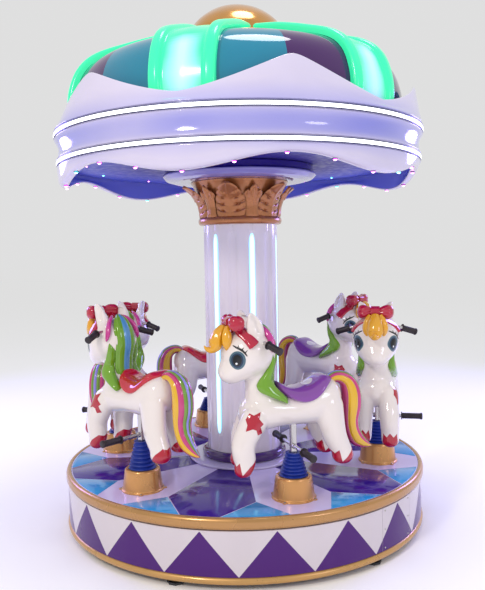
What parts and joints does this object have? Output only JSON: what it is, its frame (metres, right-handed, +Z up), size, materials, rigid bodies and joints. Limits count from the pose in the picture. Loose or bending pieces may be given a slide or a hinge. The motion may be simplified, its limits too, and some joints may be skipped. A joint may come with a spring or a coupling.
{
  "type": "fairground carousel",
  "caption": "Small fairground carousel: moulded ponies rise and fall on a round deck that turns with its column and lobed canopy above a fixed base.",
  "frame": {"origin": "on the turning axis at ground level, under the middle of the base", "axes": "+Z up along the turning axis; -Y is the side that the picture shows"},
  "size_m": [1.9196, 1.9196, 2.7143],
  "materials": {
    "gold_trim": "metallic gold paint, satin",
    "skirt_gelcoat": "white gelcoat with dark purple triangles, gloss",
    "chassis_steel": "dark paint, satin",
    "deck_gelcoat": "pale lavender gelcoat with purple and blue panels, high gloss",
    "column_gelcoat": "pearl white gelcoat, high gloss",
    "collar_gelcoat": "deep purple gelcoat, high gloss",
    "capital_copper": "copper gold paint, satin gloss",
    "ceiling_gelcoat": "lavender and indigo gelcoat, gloss",
    "valance_gelcoat": "pearl lavender gelcoat, high gloss",
    "dome_gelcoat": "teal and purple sectors, high gloss",
    "finial_pearl": "pearl gold gelcoat, high gloss",
    "pony_gelcoat": "warm white gelcoat with painted details, high gloss",
    "pole_steel": "brushed",
    "grip_rubber": "soft black, satin",
    "bellows_rubber": "deep blue, satin",
    "cup_gold": "metallic gold paint, satin",
    "light_white": "diffused light strip",
    "arch_mint": "lit translucent cover, gloss"
  },
  "bodies": {
    "base": {"foot_ring": "gold_trim", "base_skirt": "skirt_gelcoat", "access_panel": "skirt_gelcoat", "chassis": "chassis_steel", "centre_bearing": "chassis_steel"},
    "turntable": {"deck": "deck_gelcoat", "deck_rim": "gold_trim", "column_plinth": "column_gelcoat", "column_collar": "collar_gelcoat", "column_shaft": "column_gelcoat", "capital": "capital_copper", "ceiling_boss": "ceiling_gelcoat", "ceiling": "ceiling_gelcoat", "valance": "valance_gelcoat", "lower_light_band": "light_white", "upper_light_band": "light_white", "dome": "dome_gelcoat", "dome_arch_1": "arch_mint", "dome_arch_2": "arch_mint", "dome_arch_3": "arch_mint", "dome_arch_4": "arch_mint", "dome_arch_5": "arch_mint", "dome_arch_6": "arch_mint", "finial": "finial_pearl", "pony_1_cup": "cup_gold", "pony_2_cup": "cup_gold", "pony_3_cup": "cup_gold", "pony_4_cup": "cup_gold", "pony_5_cup": "cup_gold", "pony_6_cup": "cup_gold"},
    "pony_1": {"pony_1": "pony_gelcoat", "pony_1_pole": "pole_steel", "pony_1_handlebar": "grip_rubber", "pony_1_bellows": "bellows_rubber"},
    "pony_2": {"pony_2": "pony_gelcoat", "pony_2_pole": "pole_steel", "pony_2_handlebar": "grip_rubber", "pony_2_bellows": "bellows_rubber"},
    "pony_3": {"pony_3": "pony_gelcoat", "pony_3_pole": "pole_steel", "pony_3_handlebar": "grip_rubber", "pony_3_bellows": "bellows_rubber"},
    "pony_4": {"pony_4": "pony_gelcoat", "pony_4_pole": "pole_steel", "pony_4_handlebar": "grip_rubber", "pony_4_bellows": "bellows_rubber"},
    "pony_5": {"pony_5": "pony_gelcoat", "pony_5_pole": "pole_steel", "pony_5_handlebar": "grip_rubber", "pony_5_bellows": "bellows_rubber"},
    "pony_6": {"pony_6": "pony_gelcoat", "pony_6_pole": "pole_steel", "pony_6_handlebar": "grip_rubber", "pony_6_bellows": "bellows_rubber"}
  },
  "joints": [
    {"name": "turntable_spin", "type": "hinge", "parent": "base", "child": "turntable", "pos_m": [0, 0, 0.276], "axis": [0, 0, 1], "continuous": true},
    {"name": "pony_1_lift", "type": "slide", "parent": "turntable", "child": "pony_1", "axis": [0, 0, 1], "range_m": [-0.045, 0.045], "deforming": ["pony_1_bellows"]},
    {"name": "pony_2_lift", "type": "slide", "parent": "turntable", "child": "pony_2", "axis": [0, 0, 1], "range_m": [-0.07, 0.02], "deforming": ["pony_2_bellows"]},
    {"name": "pony_3_lift", "type": "slide", "parent": "turntable", "child": "pony_3", "axis": [0, 0, 1], "range_m": [-0.03, 0.06], "deforming": ["pony_3_bellows"]},
    {"name": "pony_4_lift", "type": "slide", "parent": "turntable", "child": "pony_4", "axis": [0, 0, 1], "range_m": [-0.015, 0.075], "deforming": ["pony_4_bellows"]},
    {"name": "pony_5_lift", "type": "slide", "parent": "turntable", "child": "pony_5", "axis": [0, 0, 1], "range_m": [-0.055, 0.035], "deforming": ["pony_5_bellows"]},
    {"name": "pony_6_lift", "type": "slide", "parent": "turntable", "child": "pony_6", "axis": [0, 0, 1], "range_m": [-0.05, 0.04], "deforming": ["pony_6_bellows"]}
  ]
}
